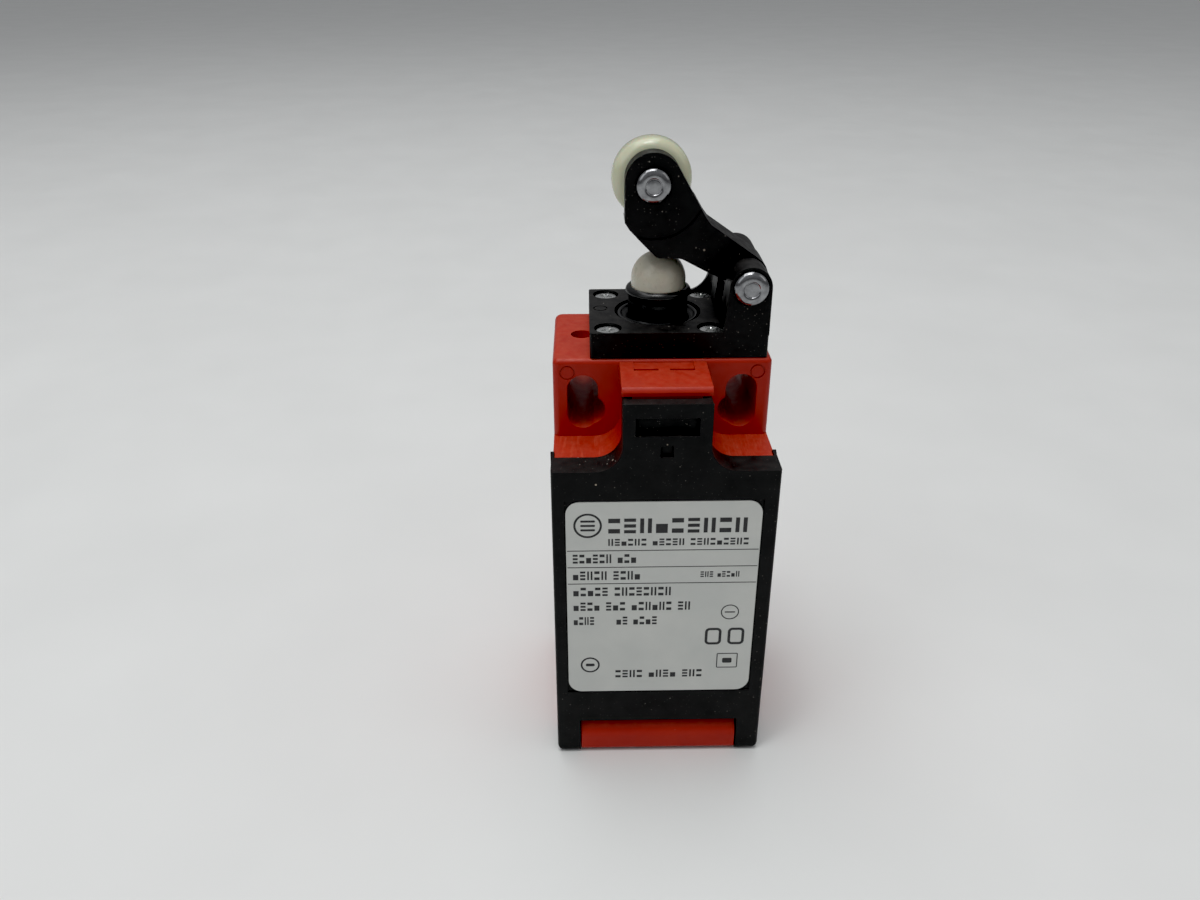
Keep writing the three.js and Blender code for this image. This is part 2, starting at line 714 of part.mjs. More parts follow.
function contactBase() {
  let solid = box(-BLOCK_HALF, BLOCK_HALF, BLOCK_FRONT, BLOCK_BACK, BLOCK_BOTTOM, BLOCK_TOP);
  solid = solid.add(cylinderZ(TOWER_R, BLOCK_TOP - 1, TOWER_TOP, AXIS_X, AXIS_Y, 32));
  const [y0, y1] = [CARRIER_Y[0] - SLIDE_GAP, CARRIER_Y[1] + SLIDE_GAP];
  const half = CARRIER_HALF + SLIDE_GAP;
  solid = solid.subtract(box(AXIS_X - half, AXIS_X + half, y0, y1, 18, CARRIER_Z[1] + 0.2));
  solid = solid.subtract(cylinderZ(FOOT_R + 0.1, 40, TOWER_TOP + 1, AXIS_X, AXIS_Y, ROUND));
  const reach = BRIDGE_HALF + 0.9;
  solid = solid.subtract(box(-reach, reach, y0, y1, NC_BRIDGE_Z - 4.6, NC_STRIP_Z + STRIP + 0.05));
  solid = solid.subtract(box(-reach, reach, y0, y1, NO_STRIP_Z - 0.05, NO_BRIDGE_Z + 1.4));
  for (const side of [-1, 1]) {
    for (const z of [NC_STRIP_Z, NO_STRIP_Z]) {
      const [x0, x1] = [TERMINAL_X - TERMINAL_HALF - 0.05, TERMINAL_X + TERMINAL_HALF + 0.05]
        .map((x) => side * x)
        .sort((a, b) => a - b);
      solid = solid.subtract(box(x0, x1, BLOCK_FRONT - 1, y0 + 0.1, z - 0.05, z + STRIP + 0.05));
    }
    for (const z of [NC_STRIP_Z + STRIP - 4, NO_STRIP_Z + 4]) {
      solid = solid.subtract(cylinderY(TERMINAL_SCREW_R + 0.1, -1, 2.3, side * TERMINAL_X, z, COARSE));
    }
  }
  return piece('contact_base', solid, plastic(MOULDING, 0.6));
}

function contactCarrier() {
  const [x0, x1] = [AXIS_X - CARRIER_HALF, AXIS_X + CARRIER_HALF];
  let solid = box(x0, x1, ...CARRIER_Y, ...CARRIER_Z);
  solid = solid.add(cylinderZ(FOOT_R - 0.1, CARRIER_Z[1] - 1, FOOT_Z - 0.1, AXIS_X, AXIS_Y, 24));
  const [w0, w1] = [BRIDGE_Y[0] - 0.6, BRIDGE_Y[1] + 0.6];
  solid = solid.subtract(box(x0 - 1, x1 + 1, w0, w1, NC_BRIDGE_Z - 4.4, NC_BRIDGE_Z + 0.7));
  solid = solid.subtract(box(x0 - 1, x1 + 1, w0, w1, NO_BRIDGE_Z - 0.1, NO_BRIDGE_Z + 5));
  return piece('contact_carrier', solid, plastic(NYLON, 0.5));
}

// A bridge strip with two silver tips on the side that meets the fixed contacts.
function bridge(name, z, tipsUp) {
  let solid = box(AXIS_X - BRIDGE_HALF, AXIS_X + BRIDGE_HALF, ...BRIDGE_Y, z, z + BRIDGE_THICK);
  for (const side of [-1, 1]) {
    const [z0, z1] = tipsUp
      ? [z + BRIDGE_THICK - 0.1, z + BRIDGE_THICK + TIP_HEIGHT]
      : [z - TIP_HEIGHT, z + 0.1];
    solid = solid.add(cylinderZ(TIP_R, z0, z1, side * TIP_X, AXIS_Y, COARSE));
  }
  return piece(name, solid, metal(SILVER, 0.3));
}

// A fixed contact: a screw pad on the front of the block, bent back to a silver tip.
function terminal(name, side, stripZ, tipUp) {
  const [x0, x1] = [TERMINAL_X - TERMINAL_HALF, TERMINAL_X + TERMINAL_HALF]
    .map((x) => side * x)
    .sort((a, b) => a - b);
  const [pad0, pad1] = tipUp ? [stripZ, stripZ + PAD_LENGTH] : [stripZ + STRIP - PAD_LENGTH, stripZ + STRIP];
  const screwZ = tipUp ? stripZ + 4 : stripZ + STRIP - 4;
  let solid = box(x0, x1, PAD_FRONT, PAD_FRONT + STRIP, pad0, pad1);
  solid = solid.add(box(x0, x1, PAD_FRONT, CARRIER_Y[0] - 0.05, stripZ, stripZ + STRIP));
  solid = solid.add(box(side * TIP_X - 1.5, side * TIP_X + 1.5, PAD_FRONT, 7.2, stripZ, stripZ + STRIP));
  const [t0, t1] = tipUp
    ? [stripZ + STRIP - 0.1, stripZ + STRIP + TIP_HEIGHT]
    : [stripZ - TIP_HEIGHT, stripZ + 0.1];
  solid = solid.add(cylinderZ(TIP_R, t0, t1, side * TIP_X, AXIS_Y, COARSE));
  solid = solid.subtract(cylinderY(TERMINAL_SCREW_R + 0.1, -1, 2, side * TERMINAL_X, screwZ, COARSE));
  return piece(name, solid, metal(COPPER, 0.35));
}

// Screws and clamp washers on the four terminals, turned to face the front.
function terminalFasteners() {
  const washer = prismZ(roundedRect(-2.5, 2.5, -2.5, 2.5, 0.5), 0, 0.7, 3)
    .subtract(cylinderZ(TERMINAL_SCREW_R + 0.1, -1, 2, 0, 0, COARSE));
  const screw = crossScrew(2.3, 1.5, TERMINAL_SCREW_R, 3.2, 16);
  const group = new THREE.Group();
  const places = [
    [-1, NC_STRIP_Z + STRIP - 4],
    [1, NC_STRIP_Z + STRIP - 4],
    [-1, NO_STRIP_Z + 4],
    [1, NO_STRIP_Z + 4],
  ];
  places.forEach(([side, z], i) => {
    const stack = new THREE.Group();
    stack.position.set(side * TERMINAL_X, PAD_FRONT - 0.1, z);
    stack.rotation.x = Math.PI / 2;
    stack.add(piece(`clamp_washer_${i + 1}`, washer, metal(STEEL, 0.35)));
    stack.add(piece(`terminal_screw_${i + 1}`, screw, metal(STEEL, 0.3), [0, 0, 0.8]));
    group.add(stack);
  });
  return group;
}

function blockSprings() {
  const nc = coilSpring(1.15, 0.35, NC_BRIDGE_Z - 4.35, NC_BRIDGE_Z - 0.05, 4.5, AXIS_X, AXIS_Y);
  const no = coilSpring(1.15, 0.35, NO_BRIDGE_Z + BRIDGE_THICK + 0.05, NO_BRIDGE_Z + 4.95, 4.5, AXIS_X, AXIS_Y);
  const back = coilSpring(1.7, 0.45, 18.03, CARRIER_Z[0] - 0.03, 4.5, AXIS_X, AXIS_Y);
  return [
    piece('nc_bridge_spring', nc, metal(SPRING, 0.3)),
    piece('no_bridge_spring', no, metal(SPRING, 0.3)),
    piece('carrier_spring', back, metal(SPRING, 0.3)),
  ];
}

// ---------------------------------------------------------------- assembly

const coverGroup = new THREE.Group();
coverGroup.add(cover(), coverGasket(), labelPlate());

const headGroup = new THREE.Group();
headGroup.add(headBlock(), headGasket(), ...headScrews(), leverPin());

const leverGroup = new THREE.Group();
leverGroup.add(lever(), rollerPin(), roller());

const plungerGroup = new THREE.Group();
plungerGroup.add(plunger(), plungerSeal(), plungerSpring());

const contactGroup = new THREE.Group();
contactGroup.add(
  contactBase(),
  contactCarrier(),
  bridge('nc_bridge', NC_BRIDGE_Z, true),
  bridge('no_bridge', NO_BRIDGE_Z, false),
  ...blockSprings(),
  terminal('nc_terminal_left', -1, NC_STRIP_Z, false),
  terminal('nc_terminal_right', 1, NC_STRIP_Z, false),
  terminal('no_terminal_left', -1, NO_STRIP_Z, true),
  terminal('no_terminal_right', 1, NO_STRIP_Z, true),
  terminalFasteners(),
);

const limitSwitch = new THREE.Group();
limitSwitch.add(housing(), coverLatch(), coverGroup, headGroup, leverGroup, plungerGroup, contactGroup);

export default limitSwitch;
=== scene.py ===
"""Looks of a roller-lever limit switch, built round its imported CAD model.

Lengths in the helpers are millimetres. +X right, +Y back, +Z up, seen from the cover side.
"""
import math
import random

import bmesh
import bpy
from mathutils import Matrix, Vector


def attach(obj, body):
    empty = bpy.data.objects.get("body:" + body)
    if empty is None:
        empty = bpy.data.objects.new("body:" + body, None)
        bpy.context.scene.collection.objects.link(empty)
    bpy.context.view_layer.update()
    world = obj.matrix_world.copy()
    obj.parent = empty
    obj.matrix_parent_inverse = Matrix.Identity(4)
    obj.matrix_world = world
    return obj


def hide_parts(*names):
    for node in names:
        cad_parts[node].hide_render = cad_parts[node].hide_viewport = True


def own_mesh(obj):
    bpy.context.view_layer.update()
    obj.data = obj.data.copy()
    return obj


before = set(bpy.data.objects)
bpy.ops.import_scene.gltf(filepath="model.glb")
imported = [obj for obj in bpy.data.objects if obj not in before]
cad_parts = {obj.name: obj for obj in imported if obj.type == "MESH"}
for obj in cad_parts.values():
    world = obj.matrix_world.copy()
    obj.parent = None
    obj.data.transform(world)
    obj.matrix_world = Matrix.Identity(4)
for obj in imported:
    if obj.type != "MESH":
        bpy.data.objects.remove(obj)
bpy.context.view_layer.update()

MM = 0.001
WELD = 0.002 * MM       # vertices this near to each other are one vertex
SHADING_SPLIT = 38      # degrees; sharper edges than this are shaded as edges
BEVEL_SPLIT = 32        # degrees; sharper edges than this may be rounded
SLACK = 0.004           # keeps a cutter's faces off the faces it must leave alone
NOTCH_FLOOR = 49.05     # the housing's ledge on either side of the cover's tongue


# ---------------------------------------------------------------- meshes

def new_object(name, bm):
    mesh = bpy.data.meshes.new(name)
    bmesh.ops.recalc_face_normals(bm, faces=bm.faces)
    bm.to_mesh(mesh)
    bm.free()
    obj = bpy.data.objects.new(name, mesh)
    bpy.context.scene.collection.objects.link(obj)
    return obj


def loft(name, rings, closed=False):
    """A solid through rings of points. Its ends are capped, or the last ring joins the first."""
    bm = bmesh.new()
    rows = [[bm.verts.new(Vector(p) * MM) for p in ring] for ring in rings]
    count = len(rows[0])
    pairs = list(zip(rows, rows[1:])) + ([(rows[-1], rows[0])] if closed else [])
    for a, b in pairs:
        for i in range(count):
            j = (i + 1) % count
            bm.faces.new((a[i], a[j], b[j], b[i]))
    if not closed:
        bm.faces.new(rows[0][::-1])
        bm.faces.new(rows[-1])
    return new_object(name, bm)


def lathe(name, profile, centre, axis="Z", sides=96, closed=False):
    """A profile of (radius, height) points turned about an axis through centre."""
    bm = bmesh.new()
    cx, cy, cz = centre

    def place(r, h, a):
        u, v = r * math.cos(a), r * math.sin(a)
        point = (cx + u, cy + v, h) if axis == "Z" else (cx + u, h, cz + v)
        return Vector(point) * MM

    rows = []
    profile = [p for i, p in enumerate(profile) if i == 0 or math.dist(p, profile[i - 1]) > 1e-3]
    for r, h in profile:
        if r < 1e-6:
            rows.append([bm.verts.new(place(0, h, 0))])
        else:
            rows.append([bm.verts.new(place(r, h, math.tau * i / sides)) for i in range(sides)])
    pairs = list(zip(rows, rows[1:])) + ([(rows[-1], rows[0])] if closed else [])
    for a, b in pairs:
        for i in range(sides):
            j = (i + 1) % sides
            if len(a) == 1:
                bm.faces.new((a[0], b[j], b[i]))
            elif len(b) == 1:
                bm.faces.new((a[i], a[j], b[0]))
            else:
                bm.faces.new((a[i], a[j], b[j], b[i]))
    return new_object(name, bm)


def smooth_through(points, steps=5):
    """A Catmull-Rom curve through (radius, height) points."""
    out = []
    padded = [points[0]] + list(points) + [points[-1]]
    for p, q, r, s in zip(padded, padded[1:], padded[2:], padded[3:]):
        for k in range(steps):
            t = k / steps
            out.append(tuple(
                0.5 * (2 * b + (c - a) * t + (2 * a - 5 * b + 4 * c - d) * t * t
                       + (3 * b - a - 3 * c + d) * t ** 3)
                for a, b, c, d in zip(p, q, r, s)))
    out.append(tuple(points[-1]))
    return [(max(r, 0.0), h) for r, h in out]


def bow(cx, cy, r, start, end, steps=8):
    """Points along an arc, with angles in degrees."""
    angles = [math.radians(start + (end - start) * i / steps) for i in range(steps + 1)]
    return [(cx + r * math.cos(a), cy + r * math.sin(a)) for a in angles]


def rounded_rectangle(x0, x1, z0, z1, r, steps=6):
    return (bow(x1 - r, z0 + r, r, -90, 0, steps) + bow(x1 - r, z1 - r, r, 0, 90, steps)
            + bow(x0 + r, z1 - r, r, 90, 180, steps) + bow(x0 + r, z0 + r, r, 180, 270, steps))


def block(name, x0, x1, y0, y1, z0, z1):
    ring = [(x0, y0), (x1, y0), (x1, y1), (x0, y1)]
    return loft(name, [[(x, y, z) for x, y in ring] for z in (z0, z1)])


def rounding(radius):
    """The steps that round an edge, as (how far in from one face, how far short of the other)."""
    turns = [math.radians(15 * step) for step in range(7)]
    return [(radius * (1 - math.cos(a)), radius * (1 - math.sin(a))) for a in turns]


def copy_of(node, name):
    """A copy of a CAD node's mesh, with its flat faces joined up and its stored normals dropped."""
    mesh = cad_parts[node].data
    bm = bmesh.new()
    bm.from_mesh(mesh)
    bmesh.ops.remove_doubles(bm, verts=bm.verts, dist=WELD)
    bmesh.ops.dissolve_limit(bm, angle_limit=math.radians(0.5), verts=bm.verts, edges=bm.edges)
    obj = new_object(name, bm)
    for layer in ("custom_normal", "sharp_edge"):
        if layer in obj.data.attributes:
            obj.data.attributes.remove(obj.data.attributes[layer])
    return obj


def apply_modifiers(obj):
    graph = bpy.context.evaluated_depsgraph_get()
    mesh = bpy.data.meshes.new_from_object(obj.evaluated_get(graph))
    obj.modifiers.clear()
    obj.data = mesh


def carve(obj, *tools, operation="DIFFERENCE"):
    """Cuts the tools out of obj, or joins them to it, and removes them."""
    for tool in tools:
        boolean = obj.modifiers.new("carve", "BOOLEAN")
        boolean.object = tool
        boolean.operation = operation
        boolean.solver = "EXACT"
        apply_modifiers(obj)
        bpy.data.objects.remove(tool)
    return obj


def round_edges(obj, *rules, cleaned=False):
    """Rounds sharp edges. Each rule is (radius, segments, test of an edge's middle in mm).

    cleaned drops the faces without area that the rounding leaves.
    """
    bm = bmesh.new()
    bm.from_mesh(obj.data)
    bmesh.ops.dissolve_limit(bm, angle_limit=math.radians(0.4), verts=bm.verts, edges=bm.edges)
    for radius, segments, wanted in rules:
        bm.edges.ensure_lookup_table()
        chosen = []
        for edge in bm.edges:
            if len(edge.link_faces) != 2 or edge.calc_face_angle(0) < math.radians(BEVEL_SPLIT):
                continue
            middle = (edge.verts[0].co + edge.verts[1].co) / (2 * MM)
            if wanted(middle):
                chosen.append(edge)
        if chosen:
            bmesh.ops.bevel(bm, geom=chosen, offset=radius * MM, offset_type="OFFSET", segments=segments,
                            profile=0.5, affect="EDGES", clamp_overlap=True, miter_outer="SHARP")
    if cleaned:
        bmesh.ops.dissolve_degenerate(bm, dist=WELD, edges=bm.edges)
    gaps = [edge for edge in bm.edges if edge.is_boundary]
    if gaps:
        bmesh.ops.holes_fill(bm, edges=gaps, sides=6)
    bm.to_mesh(obj.data)
    bm.free()


def ship(obj, body, slot, finish, *nodes):
    """Shades a finished piece, gives it its material and fixes it to its body."""
    obj.data.materials.clear()
    obj.data.materials.append(finish)
    obj.data.shade_smooth()
    obj.data.set_sharp_from_angle(angle=math.radians(SHADING_SPLIT))
    weighted = obj.modifiers.new("normals", "WEIGHTED_NORMAL")
    weighted.keep_sharp = True
    weighted.weight = 100
    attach(obj, body)
    if nodes:
        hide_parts(*nodes)
    return obj


# ---------------------------------------------------------------- materials

class Finish:
    """A Principled material that is built up layer by layer."""

    def __init__(self, name, colour, roughness, metallic=0.0, **settings):
        self.material = bpy.data.materials.new(name)
        self.material.use_nodes = True
        self.tree = self.material.node_tree
        self.shader = self.tree.nodes["Principled BSDF"]
        self.shader.inputs["Metallic"].default_value = metallic
        for key, value in settings.items():
            self.shader.inputs[key.replace("_", " ")].default_value = value
        self.colour = (*colour, 1)
        self.roughness = roughness
        self.normal = None
        self.place = self.add("ShaderNodeTexCoord")

    def add(self, kind, **settings):
        node = self.tree.nodes.new(kind)
        for key, value in settings.items():
            setattr(node, key, value)
        return node

    def put(self, socket, value):
        if isinstance(value, bpy.types.NodeSocket):
            self.tree.links.new(value, socket)
        else:
            socket.default_value = value

    def at(self, stretch=(1, 1, 1)):
        mapping = self.add("ShaderNodeMapping")
        self.put(mapping.inputs["Vector"], self.place.outputs["Object"])
        mapping.inputs["Scale"].default_value = stretch
        return mapping.outputs[0]

    def noise(self, size, detail=3, rough=0.5, stretch=(1, 1, 1)):
        """Noise whose features are about size millimetres across."""
        node = self.add("ShaderNodeTexNoise")
        self.put(node.inputs["Vector"], self.at(stretch))
        node.inputs["Scale"].default_value = 1 / (size * MM)
        node.inputs["Detail"].default_value = detail
        node.inputs["Roughness"].default_value = rough
        return node.outputs[0]

    def ramp(self, value, low, high, start=0.0, end=1.0):
        """Carries low to high over to start to end, and holds the ends."""
        node = self.add("ShaderNodeMapRange")
        self.put(node.inputs["Value"], value)
        for key, number in zip(("From Min", "From Max", "To Min", "To Max"), (low, high, start, end)):
            node.inputs[key].default_value = number
        return node.outputs[0]

    def maths(self, operation, a, b):
        node = self.add("ShaderNodeMath", operation=operation)
        self.put(node.inputs[0], a)
        self.put(node.inputs[1], b)
        return node.outputs[0]

    def specks(self, spacing, radius, share):
        """Small dots, in a share of the cells of a random grid."""
        node = self.add("ShaderNodeTexVoronoi")
        self.put(node.inputs["Vector"], self.at())
        node.inputs["Scale"].default_value = 1 / (spacing * MM)
        split = self.add("ShaderNodeSeparateColor")
        self.put(split.inputs[0], node.outputs["Color"])
        dot = self.ramp(node.outputs["Distance"], radius / spacing, 0.5 * radius / spacing)
        picked = self.maths("GREATER_THAN", split.outputs[0], 1 - share)
        faded = self.maths("MULTIPLY", picked, split.outputs[1])
        return self.maths("MULTIPLY", dot, faded)

    def facing_up(self):
        """1 on faces that look up and 0 on upright ones. It places dust, painted top light and the notch
        floor's tool marks.
        """
        split = self.add("ShaderNodeSeparateXYZ")
        self.put(split.inputs[0], self.place.outputs["Normal"])
        return self.ramp(split.outputs[2], 0.5, 0.95)

    def tint(self, amount, colour):
        """Lays a colour over what is there, by an amount from 0 to 1."""
        node = self.add("ShaderNodeMix", data_type="RGBA")
        self.put(node.inputs[0], amount)
        self.put(node.inputs[6], self.colour)
        node.inputs[7].default_value = (*colour, 1)
        self.colour = node.outputs[2]
        return self

    def overlay(self, mask, strength, colour):
        """Lays a colour over the places that a mask picks out."""
        return self.tint(self.maths("MULTIPLY", mask, strength), colour)

    def vary_roughness(self, pattern, low, high):
        self.roughness = self.ramp(pattern, 0.3, 0.7, low, high)

    def bump(self, height, depth, strength=1.0):
        """Small relief, with its depth in millimetres, on top of what is there."""
        node = self.add("ShaderNodeBump")
        self.put(node.inputs["Height"], height)
        node.inputs["Distance"].default_value = depth * MM
        node.inputs["Strength"].default_value = strength
        if self.normal is not None:
            self.put(node.inputs["Normal"], self.normal)
        self.normal = node.outputs[0]
        return self

    def done(self):
        self.put(self.shader.inputs["Base Color"], self.colour)
        self.put(self.shader.inputs["Roughness"], self.roughness)
        if self.normal is not None:
            self.put(self.shader.inputs["Normal"], self.normal)
        return self.material


def black_moulding(name, colour, lighter, rough_low, rough_high, dust_and_top_light=1.0):
    """Satin plastic under three sizes of dust and a thin haze on its upward faces, part dust and part painted
    top light. The last argument scales the haze and the dust.
    """
    f = Finish(name, colour, 0.5, Specular_IOR_Level=0.22)
    f.tint(f.ramp(f.noise(3.5), 0.35, 0.7), lighter)
    # painted top light: upward faces are made a little lighter, part dust and part the light that falls on
    # them
    dust_and_painted_top_light = f.maths("MULTIPLY", f.facing_up(), f.ramp(f.noise(1.6, detail=5), 0.3, 0.75))
    f.overlay(dust_and_painted_top_light, 0.05 * dust_and_top_light, (0.30, 0.28, 0.26))
    f.overlay(f.specks(0.42, 0.075, 0.5), 0.40 * dust_and_top_light, (0.30, 0.28, 0.25))
    f.overlay(f.specks(0.95, 0.11, 0.4), 0.8 * dust_and_top_light, (0.50, 0.46, 0.40))
    f.overlay(f.specks(3.0, 0.19, 0.4), dust_and_top_light, (0.66, 0.56, 0.44))
    fine = f.noise(0.16, 3, 0.6)
    f.vary_roughness(f.noise(1.3, 5), rough_low, rough_high)
    f.bump(fine, 0.016, 0.6)
    f.bump(f.noise(1.2, 2), 0.02, 0.3)
    return f.done()


def red_moulding():
    """Red plastic, paler on its upper faces with dust and painted top light, with tool marks along the notch
    floor.
    """
    f = Finish("red plastic", (0.375, 0.0135, 0.0030), 0.45, Specular_IOR_Level=0.30,
               Subsurface_Weight=0.04, Subsurface_Scale=0.4 * MM)
    f.tint(f.ramp(f.noise(4.0, 4), 0.3, 0.75), (0.43, 0.020, 0.0050))
    up = f.facing_up()
    # painted top light: upward faces are made paler and lighter, part dust and part the light that falls on
    # them
    dust_and_painted_top_light = f.maths("MULTIPLY", up, f.ramp(f.noise(1.1, 6, 0.65), 0.25, 0.7))
    f.overlay(dust_and_painted_top_light, 0.26, (0.62, 0.16, 0.085))
    split = f.add("ShaderNodeSeparateXYZ")
    f.put(split.inputs[0], f.place.outputs["Object"])
    level = f.maths("COMPARE", split.outputs[2], NOTCH_FLOOR * MM)
    level.node.inputs[2].default_value = 0.2 * MM
    on_floor = f.maths("MULTIPLY", up, level)
    streaks = f.ramp(f.noise(0.30, 3, 0.6, (1.0, 0.10, 1.0)), 0.50, 0.68)
    f.overlay(f.maths("MULTIPLY", streaks, on_floor), 0.30, (0.62, 0.13, 0.065))
    f.overlay(f.specks(1.3, 0.06, 0.3), 0.5, (0.75, 0.42, 0.32))
    f.overlay(f.specks(2.2, 0.09, 0.25), 0.6, (0.14, 0.010, 0.005))
    f.vary_roughness(f.noise(0.9, 5), 0.34, 0.50)
    f.bump(f.maths("MULTIPLY", streaks, on_floor), 0.03, 0.5)
    f.bump(f.noise(0.14, 3, 0.6), 0.010, 0.45)
    f.bump(f.noise(0.9, 3), 0.02, 0.3)
    return f.done()


def roller_moulding():
    """Glossy, slightly translucent ivory plastic with worn patches."""
    f = Finish("ivory plastic", (0.55, 0.57, 0.40), 0.24, Subsurface_Weight=0.20,
               Subsurface_Scale=1.2 * MM, Coat_Weight=0.5, Coat_Roughness=0.06)
    f.tint(f.ramp(f.noise(3.0, 4), 0.35, 0.7), (0.60, 0.615, 0.455))
    f.overlay(f.ramp(f.noise(1.2, 6, 0.7), 0.6, 0.85), 0.15, (0.48, 0.47, 0.32))
    f.overlay(f.specks(2.4, 0.07, 0.3), 0.6, (0.20, 0.18, 0.12))
    f.vary_roughness(f.noise(0.8, 4), 0.16, 0.28)
    f.bump(f.noise(0.25, 3), 0.008, 0.35)
    return f.done()


def nylon(name, colour, grubby):
    """Pale nylon with grubby patches and a few dark specks."""
    f = Finish(name, colour, 0.3, Subsurface_Weight=0.12, Subsurface_Scale=0.8 * MM,
               Coat_Weight=0.35, Coat_Roughness=0.12)
    f.tint(f.ramp(f.noise(2.2, 5), 0.35, 0.75), grubby)
    f.overlay(f.specks(1.7, 0.13, 0.5), 0.9, (0.05, 0.04, 0.035))
    f.vary_roughness(f.noise(0.9, 4), 0.22, 0.38)
    f.bump(f.noise(0.3, 3), 0.01, 0.3)
    return f.done()


def rubber():
    f = Finish("black rubber", (0.0035, 0.0035, 0.0038), 0.4, Specular_IOR_Level=0.5)
    f.tint(f.ramp(f.noise(1.5, 5), 0.35, 0.75), (0.0065, 0.0065, 0.0068))
    f.overlay(f.specks(0.9, 0.07, 0.3), 0.6, (0.34, 0.31, 0.27))
    f.vary_roughness(f.noise(0.7, 4), 0.20, 0.30)
    f.bump(f.noise(0.5, 2), 0.006, 0.3)
    return f.done()


def plated(name, colour, darker, rough_low, rough_high, brushed=(1, 1, 1)):
    """Plated metal that is darker in patches. brushed stretches its pattern along one axis."""
    f = Finish(name, colour, 0.25, metallic=1.0)
    f.tint(f.ramp(f.noise(1.1, 5, 0.6, brushed), 0.35, 0.75), darker)
    f.overlay(f.specks(0.8, 0.07, 0.3), 0.5, (0.20, 0.17, 0.14))
    f.vary_roughness(f.noise(0.45, 5, 0.6, brushed), rough_low, rough_high)
    f.bump(f.noise(0.22, 4, 0.6, brushed), 0.010, 0.5)
    return f.done()


def label_film():
    """Satin grey film, lightly soiled."""
    f = Finish("label film", (0.585, 0.60, 0.575), 0.38, Specular_IOR_Level=0.3)
    f.tint(f.ramp(f.noise(6.0, 3), 0.35, 0.7), (0.63, 0.64, 0.61))
    f.overlay(f.ramp(f.noise(0.9, 6, 0.7), 0.6, 0.85), 0.25, (0.48, 0.49, 0.47))
    f.overlay(f.specks(3.2, 0.06, 0.35), 0.6, (0.22, 0.21, 0.20))
    f.vary_roughness(f.noise(1.5, 4), 0.32, 0.46)
    f.bump(f.noise(0.35, 2), 0.004, 0.3)
    return f.done()


def ink():
    f = Finish("print", (0.014, 0.014, 0.016), 0.42)
    f.tint(f.ramp(f.noise(0.5, 4), 0.45, 0.8), (0.030, 0.030, 0.032))
    f.vary_roughness(f.noise(0.8, 3), 0.36, 0.5)
    return f.done()


BLACK = black_moulding("black plastic", (0.0042, 0.0042, 0.0044), (0.0072, 0.0072, 0.0074), 0.38, 0.54)
GREY = black_moulding("block moulding", (0.030, 0.033, 0.040), (0.045, 0.048, 0.056), 0.45, 0.60, dust_and_top_light=0.2)
RED = red_moulding()
IVORY = roller_moulding()
DOME = nylon("plunger nylon", (0.56, 0.53, 0.43), (0.49, 0.46, 0.37))
CARRIER = nylon("carrier nylon", (0.66, 0.64, 0.57), (0.60, 0.57, 0.50))
RUBBER = rubber()
LABEL = label_film()
INK = ink()
# painted shade: the rivets' zinc is made darker than the screws' to stand in for the dim surroundings it
# reflects
RIVET_ZINC_PAINTED_SHADE = plated("rivet zinc with painted shade", (0.34, 0.345, 0.355), (0.17, 0.17, 0.18), 0.08, 0.20)
ZINC = plated("zinc plate", (0.86, 0.87, 0.86), (0.60, 0.61, 0.60), 0.16, 0.34)
WIRE = plated("spring wire", (0.52, 0.53, 0.55), (0.36, 0.37, 0.39), 0.25, 0.40)
BRASS = plated("contact brass", (0.78, 0.56, 0.26), (0.62, 0.43, 0.20), 0.22, 0.38, (0.3, 1, 1))
SILVER = plated("silver", (0.82, 0.81, 0.78), (0.64, 0.62, 0.58), 0.22, 0.36)


# ---------------------------------------------------------------- housing

BODY_HALF = 15.1
BODY_BACK = 15.0
BODY_TOP = 60.68
FLANGE = -3.82
FLANGE_CORNER = 0.85
BACK_CORNER = 1.2
TOP_RIM = 0.8
OUTSIDE = 17            # past every side of the housing and the cover


def ring_groove(target, x, y, z, r, width, depth, facing):
    """Cuts the thin round witness line that an ejector pin leaves in a top, front or back face."""
    low, high = {"top": (z - depth, z + 1), "front": (y - 1, y + depth), "back": (y - depth, y + 1)}[facing]
    axis = "Z" if facing == "top" else "Y"
    profile = [(r - width / 2, low), (r + width / 2, low), (r + width / 2, high), (r - width / 2, high)]
    carve(target, lathe("groove", profile, (x, y, z), axis, 48, closed=True))


def shell_outline(inset, z, spare=0.0):
    """The upper housing's outline from above, drawn in by inset. spare moves its sides and back out."""
    x, front, back = BODY_HALF - inset, FLANGE + inset, BODY_BACK - inset + spare
    near, far = FLANGE_CORNER - inset, BACK_CORNER - inset
    outline = (bow(x - near, front + near, near, -90, 0, 6)
               + bow(x + spare - far, back - far, far, 0, 90, 6)
               + bow(far - x - spare, back - far, far, 90, 180, 6)
               + bow(near - x, front + near, near, 180, 270, 6))
    return [(px, py, z) for px, py in outline]


def round_flange_and_top(obj):
    """Rounds the flange's front corners and the top rim by cutting off what is outside a rounded block."""
    rim = BODY_TOP - TOP_RIM
    plug = [shell_outline(-SLACK, NOTCH_FLOOR - 1, spare=0.3)]
    plug += [shell_outline(inset - SLACK, BODY_TOP - short) for inset, short in rounding(TOP_RIM)]
    plug.append(shell_outline(TOP_RIM, BODY_TOP + 1))
    cutter = block("cutter", -OUTSIDE, OUTSIDE, -6, OUTSIDE, rim, BODY_TOP + 0.6)
    for side in (-1, 1):
        x0, x1 = sorted((side * 13, side * 16.5))
        beside = block("beside", x0, x1, FLANGE - 1, FLANGE + 3, NOTCH_FLOOR + 0.01, rim + 0.3)
        carve(cutter, beside, operation="UNION")
    carve(cutter, loft("plug", plug))
    carve(obj, cutter)


